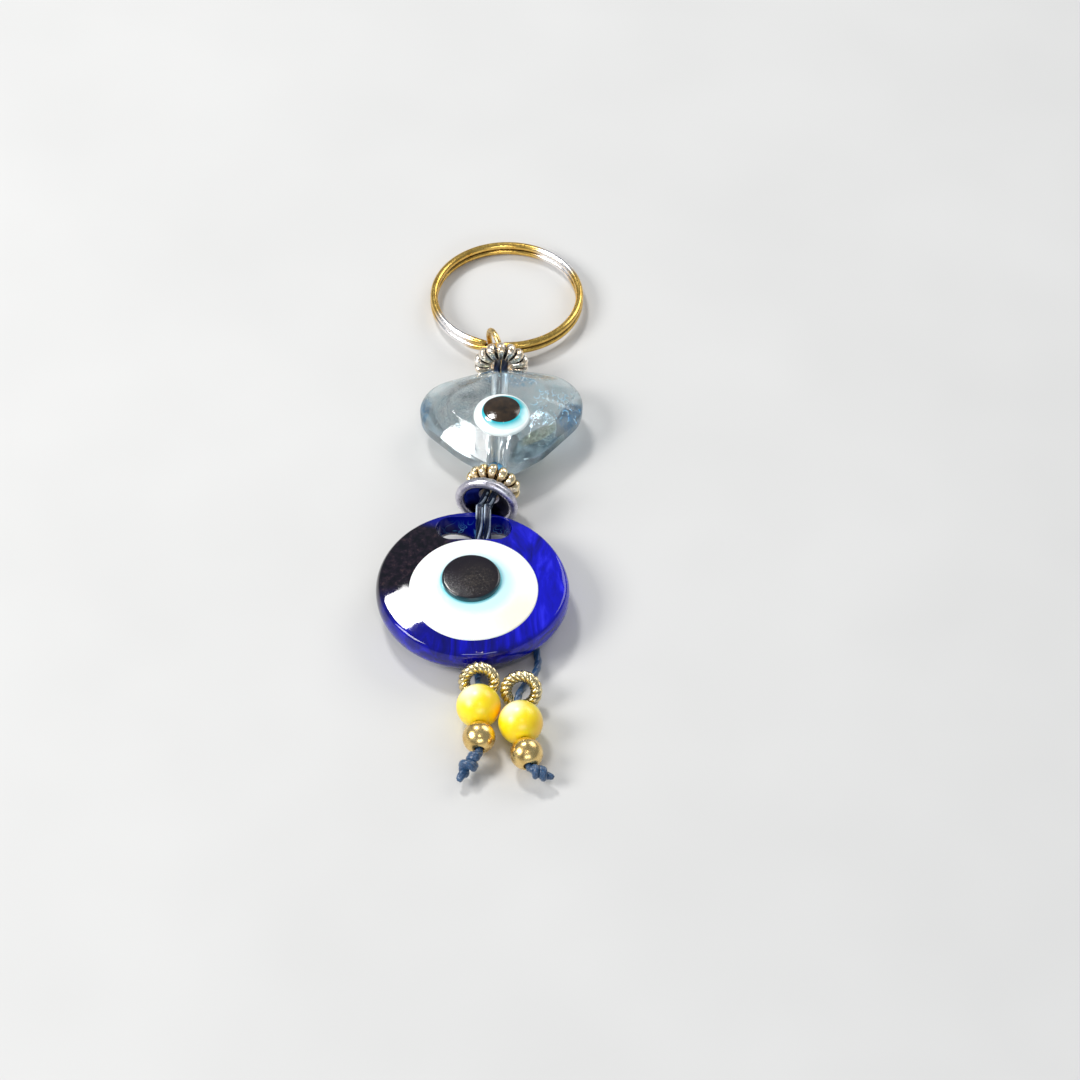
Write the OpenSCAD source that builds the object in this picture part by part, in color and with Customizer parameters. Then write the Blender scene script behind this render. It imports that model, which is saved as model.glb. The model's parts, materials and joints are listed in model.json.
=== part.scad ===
// Evil eye keychain, lying flat: a split ring, a jump ring, a clear glass bead with a small eye,
// two fluted spacers, a bell cap, a flat cobalt glass eye and two short bead tassels, on one cord.
// Millimetres. +Y runs up the chain to the split ring, +Z is up, and the floor is z = 0.

/* [Eye disc] */
// Diameter of the cobalt glass disc
eye_d = 29.4; // [26:0.2:32]
// Thickness of the disc at its middle
eye_t = 6.5; // [6.2:0.1:7]
// Radius of the rounded edge
eye_edge_r = 2.9; // [2:0.1:3]
// Radius of the shallow dome over the front
eye_dome_r = 90; // [70:5:150]
// Diameter of the white of the eye
white_d = 20.1; // [18:0.1:20.4]
// Diameter of the pale ring round the pupil
iris_d = 11; // [10.8:0.1:12]
// Diameter of the pupil
pupil_d = 9.15; // [8:0.05:9.2]
// Length of the oval cord hole, across the disc
hole_len = 11.6; // [10:0.2:12]
// Width of the oval cord hole, along the chain
hole_wid = 4.8; // [4.6:0.1:4.9]

/* [Clear bead] */
// Thickness of the clear bead between its two flat faces
bead_t = 9.3; // [9:0.1:9.6]
// Height of the narrow rim round the widest part
bead_rim_h = 1.9; // [1.2:0.1:2.4]
// Diameter of the small eye on the front
small_eye_d = 9; // [8:0.1:9.2]

/* [Metal beads] */
// Outer diameter of a fluted spacer
spacer_d = 8.8; // [8:0.1:9]
// Thickness of a fluted spacer along the cord
spacer_t = 2.4; // [2:0.1:2.4]
// Number of lobes round a fluted spacer
spacer_lobes = 14; // [12:1:16]
// Outer diameter of the bell cap
cap_d = 10.2; // [9.8:0.1:10.4]
// Depth of the bell cap
cap_depth = 2.9; // [2.6:0.1:2.9]
// Outer diameter of a twisted rope ring
rope_ring_d = 6.5; // [6.2:0.1:6.6]
// Thickness of a rope ring's round section
rope_ring_wire = 1.9; // [1.7:0.1:1.9]

/* [Tassel beads] */
// Diameter of a yellow pearl
pearl_d = 6.8; // [6.6:0.1:6.8]
// Diameter of a round gold bead
gold_bead_d = 5; // [4.4:0.1:5]

/* [Rings and cord] */
// Outer diameter of the split ring
key_ring_d = 25; // [24:0.5:25.5]
// Wire diameter of the split ring
key_ring_wire = 1.2; // [1:0.1:1.2]
// Outer diameter of the jump ring
jump_ring_d = 6.4; // [6.3:0.1:6.6]
// Wire diameter of the jump ring
jump_ring_wire = 0.9; // [0.7:0.1:0.9]
// Diameter of the navy cord
cord_d = 1.15; // [0.9:0.05:1.2]

/* [Hidden] */
$fn = 64;

// Moves the whole layout so that the origin is the middle of its base
layout_shift = [0, 2.3, 0];

// Cord
cord_r = cord_d / 2;
cord_sides = 8;
leg_gap = 0.62;
cord_z = cord_r + 0.025;
axis_clear = 0.02;
axis_z = cap_d / 2 + axis_clear;
bead_bore_r = 0.75;
strand_bore_r = 1.45;
end_gap = cord_r + 0.085;

// Eye disc
eye_at = [-1.4, -22.8];
eye_back = 1.2;
eye_top = eye_back + eye_t;
eye_dome_at = [eye_at.x, eye_at.y, eye_top - eye_dome_r];
hole_at = eye_at + [0.35, 10.8];
white_at = eye_at + [0.4, -2];
iris_at = eye_at + [0.55, -1.05];
pupil_at = eye_at + [0, -0.5];
white_floor = eye_top - 2.4;
iris_floor = eye_top - 1.5;
pupil_floor = eye_top - 0.9;
white_proud = 0.12;
iris_proud = 0.18;
pupil_dome_r = 21;
pupil_proud = 0.55;

// Neck: from the bar of glass at the top of the disc to the tip of the clear bead
neck_start = [0.36, -7.35, axis_z];
neck_end = [2.3, -0.2, axis_z];
neck_turn = atan2(neck_start.x - neck_end.x, neck_end.y - neck_start.y);
cap_mouth_at = 1.3;
cap_rim_r = 0.7;
cap_hollow_r = 4.4;
cap_hollow_depth = 2.1;
lower_spacer_at = 5.55;
spacer_lobe_r = 1.02;

// Clear bead and what is threaded above it
bead_turn = -1.5;
bead_table_z = bead_t;
bead_rim_low = (bead_t - bead_rim_h) / 2;
slice = 0.02;
small_eye_at = [0.58, 9.15];
small_eye_top = 10.5;
small_eye_dome_r = 11.5;
small_eye_floor = bead_table_z - 0.5;
small_ring_d = 7.7;
small_ring_at = small_eye_at + [0.5, 0.1];
small_ring_proud = 0.04;
small_pupil_d = 6.2;
small_pupil_at = small_eye_at + [0, 0.6];
small_pupil_floor = bead_table_z + 0.4;
small_pupil_proud = 0.08;
top_spacer_at = 24.2;
jump_pivot = [0, 27.2];
jump_turn = 24;
jump_ring_r = (jump_ring_d - jump_ring_wire) / 2;

// Split ring
key_ring_at = [3.7, 41.8];
key_ring_tilt = 2.6;
key_ring_roll = 1.5;
key_ring_z = key_ring_d / 2 * norm([sin(key_ring_tilt), sin(key_ring_roll)]);
key_ring_r = (key_ring_d - key_ring_wire) / 2;
key_ring_bite = 0.05;

// Tassels, left then right
pearl_at = [[-0.1, -45.05, 3.5], [6.25, -48.2, 3.5]];
tassel_turn = [1, 9];
tassel_dip = 3;
gold_bead_at = 5.76;
knot_at = 8.25;
rope_ring_at = [[-0.05, -40.05, 3.15], [6.3, -41.8, 3.1]];
rope_ring_lean = [60, 50];
knot_routes = [[[0, 0, 0], [-0.3, -0.7, -0.2], [-0.75, -1.4, -0.4], [-1.35, -2, -0.65], [-2, -2.6, -0.9],
    [-2.6, -3.2, -1.1], [-2.9, -3.9, -1.3], [-3, -4.5, -1.4]],
    [[0, 0, 0], [0.4, -0.7, -0.2], [1.05, -1.15, -0.4], [1.7, -1.35, -0.6], [2.5, -1.5, -0.85],
    [3.1, -1.8, -1], [3.6, -2.1, -1.1]]];
knot_radii = [[0.6, 1.05, 1.3, 1.1, 1.3, 1.15, 0.75, 0.6], [0.6, 0.95, 1.15, 0.85, 1, 0.8, 0.5]];
knot_overlap = 0.4;
threaded_at = [-3.4, 0, 3.2, 6.2, knot_at + knot_overlap];

// Routes of the cord, chosen by hand
eye_route_left = [[-0.26, -7.74, 6.04], [-0.26, -7.95, 6.6], [-0.26, -8.4, 7.2], [-0.26, -9.3, 7.6],
    [-0.26, -10.2, 7], [-0.26, -10.7, 5.9], [-0.26, -11.3, 4.4], [-0.26, -12.2, 2.8],
    [-0.26, -13.3, 1.4], [-0.26, -14.8, cord_z], [-0.3, -18, cord_z], [-0.5, -21, cord_z],
    [-0.6, -24, cord_z], [-0.6, -27, cord_z], [-0.5, -30, cord_z], [-0.4, -33, cord_z],
    [-0.3, -36.6 + end_gap, cord_z]];
eye_route_right = [[0.98, -7.74, 6.04], [0.98, -7.95, 6.6], [0.98, -8.4, 7.2], [0.98, -9.3, 7.6],
    [0.98, -10.2, 7], [0.98, -10.7, 5.9], [0.98, -11.3, 4.4], [0.98, -12.2, 2.8],
    [0.98, -13.3, 1.4], [1.1, -14.8, cord_z], [2.2, -18, cord_z], [3.9, -21, cord_z],
    [5.6, -24, cord_z], [7.1, -27, cord_z], [8.3, -30, cord_z],
    [8.8, -33.3 + end_gap, cord_z]];
left_route = [[-0.3, -36.6, cord_z], [-0.27, -37.6, 0.9], [-0.2, -38.7, 1.7], [-0.15, -39.7, 2.6],
    [-0.12, -40.6, 3.3]];
right_route = [[8.8, -33.3, cord_z], [8.85, -34.6, 0.8], [8.7, -36, 1.2], [8.25, -37.6, 1.7],
    [7.5, -39.2, 2.2], [6.8, -40.6, 2.8], [6.3, -41.9, 3.3], [5.95, -43.1, 3.7]];
heart_route = [[-leg_gap, 0, axis_z], [-leg_gap, 8, axis_z], [-leg_gap, 17, axis_z],
    [-leg_gap, 25.4, axis_z], [-0.95, 26.3, 4.55], [-1.3, 27.2, 4.05], [-0.95, 28.15, 3.75],
    [0, 28.55, 3.7], [0.95, 28.15, 3.75], [1.3, 27.2, 4.05], [0.95, 26.3, 4.55],
    [leg_gap, 25.4, axis_z], [leg_gap, 17, axis_z], [leg_gap, 8, axis_z], [leg_gap, 0, axis_z]];

// A cord is one tube swept along its route, with a round end where it meets a joint
function unit(v) = v / norm(v);
function along(p, i) = unit(p[min(i + 1, len(p) - 1)] - p[max(i - 1, 0)]);
function last(p) = p[len(p) - 1];
function ring_of(p, i, r, side) =
    let (t = along(p, i), s = unit(side - (side * t) * t), u = cross(t, s))
    [for (k = [0:cord_sides - 1]) p[i] + r * (cos(360 * k / cord_sides) * s
        + sin(360 * k / cord_sides) * u)];
start_steps = [75, 40];
end_steps = [40, 75];
function start_points(p, on) = on ? [for (a = start_steps) p[0] - along(p, 0) * cord_r * sin(a)] : [];
function end_points(p, on) =
    on ? [for (a = end_steps) last(p) + along(p, len(p) - 1) * cord_r * sin(a)] : [];
function step_radii(steps, on) = on ? [for (a = steps) cord_r * cos(a)] : [];

module tube(points, radii, side) {
    n = cord_sides;
    rings = len(points);
    corners = [for (i = [0:rings - 1]) each ring_of(points, i, radii[i], side)];
    walls = [for (i = [0:rings - 2], k = [0:n - 1]) let (a = i * n + k, b = i * n + (k + 1) % n)
        each [[a, a + n, b + n], [a, b + n, b]]];
    start_cap = [for (k = [0:n - 1]) k];
    end_cap = [for (k = [n - 1:-1:0]) (rings - 1) * n + k];
    polyhedron(corners, concat([start_cap], walls, [end_cap]), convexity = 6);
}

module cord(route, side, round_start, round_end) {
    points = concat(start_points(route, round_start), route, end_points(route, round_end));
    radii = concat(step_radii(start_steps, round_start), [for (p = route) cord_r],
        step_radii(end_steps, round_end));
    color("#15264d") tube(points, radii, side);
}

// Frames along the chain
module on_neck(distance) {
    translate(neck_start) rotate([0, 0, neck_turn]) translate([0, distance, 0]) children();
}

module on_heart() {
    translate([neck_end.x, neck_end.y, 0]) rotate([0, 0, bead_turn]) children();
}

module on_tassel(side, distance) {
    translate(pearl_at[side]) rotate([0, 0, tassel_turn[side]]) rotate([tassel_dip, 0, 0])
        translate([0, -distance, 0]) children();
}

function down_tassel(side, distance) = pearl_at[side] + distance * [
    sin(tassel_turn[side]) * cos(tassel_dip),
    -cos(tassel_turn[side]) * cos(tassel_dip),
    -sin(tassel_dip)];

// Shapes used more than once
module dome(lift) {
    translate(eye_dome_at + [0, 0, lift]) sphere(eye_dome_r, $fn = 180);
}

module disc_at(at, d, low, high) {
    translate([at.x, at.y, low]) cylinder(d = d, h = high - low);
}

module bore_along_y(r, len) {
    rotate([90, 0, 0]) cylinder(r = r, h = len, center = true);
}

// A fluted spacer, with its bore along Y
module fluted_spacer() {
    color("#c8a951") difference() {
        rotate([90, 0, 0]) intersection() {
            linear_extrude(spacer_t, center = true) union() {
                circle(spacer_d / 2 - spacer_lobe_r);
                for (k = [0:spacer_lobes - 1]) rotate(360 * k / spacer_lobes)
                    translate([spacer_d / 2 - spacer_lobe_r, 0]) circle(spacer_lobe_r, $fn = 24);
            }
            rotate_extrude() union() {
                translate([0, -spacer_t / 2]) square([(spacer_d - spacer_t) / 2, spacer_t]);
                translate([(spacer_d - spacer_t) / 2, 0]) circle(d = spacer_t);
            }
        }
        bore_along_y(strand_bore_r, 2 * spacer_t);
    }
}

module rope_ring(side) {
    color("#b99b4a") translate(rope_ring_at[side]) rotate([rope_ring_lean[side], 0, 0])
        rotate_extrude() translate([(rope_ring_d - rope_ring_wire) / 2, 0]) circle(d = rope_ring_wire);
}

module pearl(side) {
    color("#f6e21e") on_tassel(side, 0) difference() {
        sphere(d = pearl_d);
        bore_along_y(bead_bore_r, 2 * pearl_d);
    }
}

module gold_bead(side) {
    color("#c9a544") on_tassel(side, gold_bead_at) difference() {
        sphere(d = gold_bead_d);
        bore_along_y(bead_bore_r, 2 * gold_bead_d);
    }
}

// An overhand knot drawn tight: a lobe on the cord, a lobe beside it and the cut tail
module knot(side) {
    start = down_tassel(side, knot_at);
    color("#1d3c66") tube([for (p = knot_routes[side]) start + p], knot_radii[side], [0, 0, 1]);
}

// Eye disc
module eye_glass() {
    color("#0a1fb4") difference() {
        intersection() {
            translate([eye_at.x, eye_at.y, eye_back]) rotate_extrude() union() {
                square([eye_d / 2 - eye_edge_r, eye_t]);
                translate([0, eye_edge_r]) square([eye_d / 2, eye_t - 2 * eye_edge_r]);
                translate([eye_d / 2 - eye_edge_r, eye_edge_r]) circle(eye_edge_r);
                translate([eye_d / 2 - eye_edge_r, eye_t - eye_edge_r]) circle(eye_edge_r);
            }
            dome(0);
        }
        translate([hole_at.x, hole_at.y, 0]) linear_extrude(3 * eye_t) union() {
            square([hole_len - hole_wid, hole_wid], center = true);
            for (s = [-1, 1]) translate([s * (hole_len - hole_wid) / 2, 0]) circle(d = hole_wid);
        }
        disc_at(white_at, white_d, white_floor, eye_top + 1);
    }
}

module eye_white() {
    color("#fbfbf4") difference() {
        intersection() {
            disc_at(white_at, white_d, white_floor, eye_top + 1);
            dome(white_proud);
        }
        disc_at(iris_at, iris_d, iris_floor, eye_top + 1);
    }
}

module eye_iris() {
    color("#bfe9f2") difference() {
        intersection() {
            disc_at(iris_at, iris_d, iris_floor, eye_top + 1);
            dome(iris_proud);
        }
        disc_at(pupil_at, pupil_d, pupil_floor, eye_top + 1);
    }
}

module eye_pupil() {
    color("#1a1720") intersection() {
        disc_at(pupil_at, pupil_d, pupil_floor, eye_top + 1);
        translate([pupil_at.x, pupil_at.y, eye_top + pupil_proud - pupil_dome_r])
            sphere(pupil_dome_r, $fn = 120);
    }
}

module eye_cord_left() {
    cord(eye_route_left, [1, 0, 0], false, false);
}

module eye_cord_right() {
    cord(eye_route_right, [1, 0, 0], false, false);
}

// Neck
module neck_cord() {
    back = end_gap * unit(neck_end - neck_start);
    middle = (neck_start + neck_end) / 2;
    for (x = [-leg_gap, leg_gap]) {
        aside = [x, 0, 0];
        cord([neck_start + aside, middle + aside, neck_end + aside - back], [1, 0, 0], true, false);
    }
}

module bell_cap() {
    color("#b9b9be") on_neck(cap_mouth_at) difference() {
        rotate([-90, 0, 0]) union() {
            intersection() {
                sphere(d = cap_d);
                cylinder(d = cap_d, h = cap_depth);
            }
            rotate_extrude() translate([cap_d / 2 - cap_rim_r, cap_rim_r / 2]) circle(cap_rim_r);
        }
        translate([0, cap_hollow_depth - cap_hollow_r, 0]) sphere(cap_hollow_r);
        bore_along_y(strand_bore_r, 4 * cap_depth);
    }
}

module lower_spacer() {
    on_neck(lower_spacer_at) fluted_spacer();
}

// Clear bead: a rounded triangle, widest at its rim, with bevels up and down to two flat faces
module bead_outline() {
    translate([-5.95, 13.64]) circle(6.6);
    translate([6.35, 14.96]) circle(6.9);
    translate([0.5, 2.7]) circle(2.2);
    translate([1.6, 10.7]) circle(8);
    translate([-0.76, 10.57]) circle(8);
    translate([-1.25, 20.3]) circle(2.1);
    translate([1.4, 20.4]) circle(2.1);
}

module bead_table() {
    translate([-3.85, 11.7]) circle(3.8);
    translate([3.95, 13.7]) circle(3.7);
    translate([0.55, 7.4]) circle(2.6);
    translate([0.35, 15.6]) circle(2.7);
}

module heart_glass() {
    color("#bfe3ee") on_heart() difference() {
        hull() {
            linear_extrude(slice) bead_table($fn = 32);
            translate([0, 0, bead_rim_low]) linear_extrude(bead_rim_h) bead_outline($fn = 32);
            translate([0, 0, bead_table_z - slice]) linear_extrude(slice) bead_table($fn = 32);
        }
        translate([0, 12, axis_z]) bore_along_y(strand_bore_r, 40);
        disc_at(small_eye_at, small_eye_d, small_eye_floor, bead_t + 1);
    }
}

module small_eye_dome() {
    translate([small_eye_at.x, small_eye_at.y, small_eye_top - small_eye_dome_r])
        sphere(small_eye_dome_r, $fn = 120);
}

module heart_eye_white() {
    color("#f4fbf8") on_heart() difference() {
        intersection() {
            disc_at(small_eye_at, small_eye_d, small_eye_floor, small_eye_top + 1);
            small_eye_dome();
        }
        disc_at(small_ring_at, small_ring_d, bead_table_z, small_eye_top + 1);
    }
}

module heart_eye_ring() {
    color("#28bfc9") on_heart() difference() {
        intersection() {
            disc_at(small_ring_at, small_ring_d, bead_table_z, small_eye_top + 1);
            translate([0, 0, small_ring_proud]) small_eye_dome();
        }
        disc_at(small_pupil_at, small_pupil_d, small_pupil_floor, small_eye_top + 1);
    }
}

module heart_eye_pupil() {
    color("#2a1c0e") on_heart() intersection() {
        disc_at(small_pupil_at, small_pupil_d, small_pupil_floor, small_eye_top + 1);
        translate([0, 0, small_pupil_proud]) small_eye_dome();
    }
}

module heart_cord() {
    on_heart() cord(heart_route, [0, 0, 1], true, true);
}

module top_spacer() {
    on_heart() translate([0, top_spacer_at, axis_z]) fluted_spacer();
}

// The jump ring stands on the floor, with its near side through the cord's loop
module jump_ring() {
    color("#c2a24a") on_heart() translate([jump_pivot.x, jump_pivot.y, jump_ring_d / 2])
        rotate([0, 0, jump_turn]) translate([0, jump_ring_r, 0]) rotate([0, 90, 0])
        rotate_extrude() translate([jump_ring_r, 0]) circle(d = jump_ring_wire);
}

// Two turns of wire, one on the other
module key_ring() {
    color("#c9ab5c") translate([key_ring_at.x, key_ring_at.y, key_ring_z])
        rotate([-key_ring_tilt, key_ring_roll, 0]) rotate_extrude($fn = 128) union() {
            translate([key_ring_r, key_ring_wire / 2]) circle(d = key_ring_wire);
            translate([key_ring_r, 1.5 * key_ring_wire - key_ring_bite]) circle(d = key_ring_wire);
        }
}

// Tassels
module tassel_cord(side, route) {
    threaded = [for (d = threaded_at) down_tassel(side, d)];
    cord(concat(route, threaded), [1, 0, 0], true, false);
}

// The layout is drawn from the tip of the clear bead, then moved to the middle of its base
module placed() {
    translate(layout_shift) children();
}

placed() eye_glass();
placed() eye_white();
placed() eye_iris();
placed() eye_pupil();
placed() eye_cord_left();
placed() eye_cord_right();
placed() neck_cord();
placed() bell_cap();
placed() lower_spacer();
placed() heart_glass();
placed() heart_eye_white();
placed() heart_eye_ring();
placed() heart_eye_pupil();
placed() heart_cord();
placed() top_spacer();
placed() jump_ring();
placed() key_ring();
placed() tassel_cord(0, left_route);  // left_cord
placed() rope_ring(0);  // left_rope_ring
placed() pearl(0);  // left_pearl
placed() gold_bead(0);  // left_gold_bead
placed() knot(0);  // left_knot
placed() tassel_cord(1, right_route);  // right_cord
placed() rope_ring(1);  // right_rope_ring
placed() pearl(1);  // right_pearl
placed() gold_bead(1);  // right_gold_bead
placed() knot(1);  // right_knot
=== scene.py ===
"""The looks of the evil eye keychain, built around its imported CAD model."""
import json
import math

import bmesh
import bpy
from mathutils import Matrix, Vector, noise


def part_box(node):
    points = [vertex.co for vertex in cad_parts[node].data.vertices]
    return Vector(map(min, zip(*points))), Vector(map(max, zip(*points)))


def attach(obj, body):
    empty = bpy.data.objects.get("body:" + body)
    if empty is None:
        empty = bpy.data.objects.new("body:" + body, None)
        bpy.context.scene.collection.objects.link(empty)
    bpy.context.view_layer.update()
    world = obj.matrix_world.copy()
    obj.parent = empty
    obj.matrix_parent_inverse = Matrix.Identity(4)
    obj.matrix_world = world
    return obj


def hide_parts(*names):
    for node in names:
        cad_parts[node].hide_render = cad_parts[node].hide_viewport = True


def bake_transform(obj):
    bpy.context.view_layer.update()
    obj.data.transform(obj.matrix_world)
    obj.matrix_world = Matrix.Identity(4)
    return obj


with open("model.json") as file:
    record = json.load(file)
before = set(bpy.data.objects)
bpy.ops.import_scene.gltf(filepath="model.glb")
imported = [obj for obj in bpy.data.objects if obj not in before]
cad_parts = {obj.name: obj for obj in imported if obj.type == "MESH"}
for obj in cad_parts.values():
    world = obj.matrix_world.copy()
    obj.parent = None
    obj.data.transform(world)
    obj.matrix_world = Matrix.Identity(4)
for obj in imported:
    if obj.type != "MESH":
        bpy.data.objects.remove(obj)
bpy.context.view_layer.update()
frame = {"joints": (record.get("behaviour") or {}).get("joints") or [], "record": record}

# Shapes are worked out in millimetres and written to meshes in metres
MM = 0.001
TURN = 2 * math.pi
GOLDEN_ANGLE = 2.399
JOINTS = {j["name"]: j for j in frame["joints"]}
MOUNTS = {m["name"]: m for m in frame["record"]["mounts"]}
UP = Vector((0, 0, 1))
RIGHT = Vector((1, 0, 0))


# ---- Places, from the frame ----

def place(joint):
    """A joint's point, in millimetres, and its axis."""
    return Vector(JOINTS[joint]["pos_m"]) / MM, Vector(JOINTS[joint]["axis"]).normalized()


def middle(node):
    """The middle and the size of a CAD node, in millimetres."""
    low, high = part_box(node)
    return (low + high) / 2 / MM, (high - low) / MM


class Axes:
    """A right-handed set of axes: local Y runs along a cord, and local Z is as near to up as it can be."""

    def __init__(self, origin, along):
        self.origin = Vector(origin)
        self.y = Vector(along).normalized()
        self.x = self.y.cross(UP).normalized()
        self.z = self.x.cross(self.y).normalized()

    def __call__(self, x, y, z=0.0):
        return self.origin + x * self.x + y * self.y + z * self.z


# ---- Mesh tools ----

def smooth(piece):
    for polygon in piece.data.polygons:
        polygon.use_smooth = True


def make(name, corners, faces, body, nodes, finish):
    """A piece from corners in millimetres, riding on a body and standing for CAD nodes."""
    mesh = bpy.data.meshes.new(name)
    mesh.from_pydata([tuple(Vector(c) * MM) for c in corners], [], faces)
    tidy = bmesh.new()
    tidy.from_mesh(mesh)
    bmesh.ops.recalc_face_normals(tidy, faces=tidy.faces)
    tidy.to_mesh(mesh)
    tidy.free()
    piece = bpy.data.objects.new(name, mesh)
    bpy.context.scene.collection.objects.link(piece)
    piece.data.materials.append(finish)
    smooth(piece)
    if body:
        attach(piece, body)
    if nodes:
        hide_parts(*nodes)
    return piece


def skin(rings, closed=False, start_cap=True, end_cap=True):
    """Corners and faces of a surface through rings that all have as many points."""
    n = len(rings[0])
    corners = [p for ring in rings for p in ring]
    faces = []
    count = len(rings)
    for i in range(count if closed else count - 1):
        a, b = i * n, ((i + 1) % count) * n
        for k in range(n):
            faces.append((a + k, a + (k + 1) % n, b + (k + 1) % n, b + k))
    if not closed and start_cap:
        faces.append(tuple(range(n - 1, -1, -1)))
    if not closed and end_cap:
        faces.append(tuple((count - 1) * n + k for k in range(n)))
    return corners, faces


def join(*shapes):
    """One shape from several, each a pair of corners and faces."""
    corners, faces = [], []
    for some_corners, some_faces in shapes:
        first = len(corners)
        corners += some_corners
        faces += [tuple(first + i for i in face) for face in some_faces]
    return corners, faces


def curve_through(points, spacing, closed=False):
    """Points evenly spaced along a smooth curve through the points given."""
    points = [Vector(p) for p in points]
    n = len(points)
    fine = []
    for i in range(n if closed else n - 1):
        if closed:
            a, b, c, d = (points[(i + k) % n] for k in (-1, 0, 1, 2))
        else:
            b, c = points[i], points[i + 1]
            a = points[i - 1] if i else 2 * b - c
            d = points[i + 2] if i + 2 < n else 2 * c - b
        steps = max(2, round((c - b).length / spacing * 4))
        for k in range(steps):
            t = k / steps
            fine.append(0.5 * (2 * b + (c - a) * t + (2 * a - 5 * b + 4 * c - d) * t ** 2
                               + (3 * b - a - 3 * c + d) * t ** 3))
    fine.append(fine[0].copy() if closed else points[-1].copy())
    lengths = [0.0]
    for p, q in zip(fine, fine[1:]):
        lengths.append(lengths[-1] + (q - p).length)
    count = max(3, round(lengths[-1] / spacing))
    found, at = [], 0
    for k in range(count if closed else count + 1):
        want = lengths[-1] * k / count
        while at < len(fine) - 2 and lengths[at + 1] < want:
            at += 1
        span = lengths[at + 1] - lengths[at] or 1.0
        found.append(fine[at].lerp(fine[at + 1], (want - lengths[at]) / span))
    return found


def frames_along(path, closed=False):
    """The tangent and two sides at each point, turning as little as they can."""
    n = len(path)
    tangents = []
    for i in range(n):
        ahead = path[(i + 1) % n] if closed else path[min(i + 1, n - 1)]
        behind = path[i - 1] if closed or i else path[0]
        tangents.append((ahead - behind).normalized())
    side = tangents[0].orthogonal().normalized()
    found = []
    for i, t in enumerate(tangents):
        side = (side - side.dot(t) * t).normalized()
        found.append((t, side, t.cross(side)))
    return found


def tube(path, section, closed=False):
    """A tube along a path. section(i, distance) gives the outline there as (across, up) pairs."""
    rings, distance = [], 0.0
    for i, (p, (_, u, v)) in enumerate(zip(path, frames_along(path, closed))):
        if i:
            distance += (p - path[i - 1]).length
        rings.append([p + x * u + y * v for x, y in section(i, distance)])
    return skin(rings, closed)


def round_section(radius, sides=20):
    return [(radius * math.cos(TURN * k / sides), radius * math.sin(TURN * k / sides)) for k in range(sides)]


def lathe(outline, axes, segments, shape=None):
    """A closed ring-shaped surface: the outline's (radius, along) pairs turned about axes' Y."""
    rings = []
    for i in range(segments):
        a = TURN * i / segments
        ring = []
        for k, (r, y) in enumerate(outline):
            if shape:
                r, y = shape(a, r, y, k)
            ring.append(axes(r * math.cos(a), y, r * math.sin(a)))
        rings.append(ring)
    return skin(rings, closed=True)


def cut(piece, corners, faces):
    """Takes a closed shape out of a piece."""
    mesh = bpy.data.meshes.new("cutter")
    mesh.from_pydata([tuple(Vector(c) * MM) for c in corners], [], faces)
    cutter = bpy.data.objects.new("cutter", mesh)
    bpy.context.scene.collection.objects.link(cutter)
    step = piece.modifiers.new("cut", "BOOLEAN")
    step.operation = "DIFFERENCE"
    step.solver = "EXACT"
    step.object = cutter
    graph = bpy.context.evaluated_depsgraph_get()
    done = bpy.data.meshes.new_from_object(piece.evaluated_get(graph))
    piece.modifiers.clear()
    piece.data = done
    bpy.data.objects.remove(cutter)


# ---- Materials ----

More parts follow.
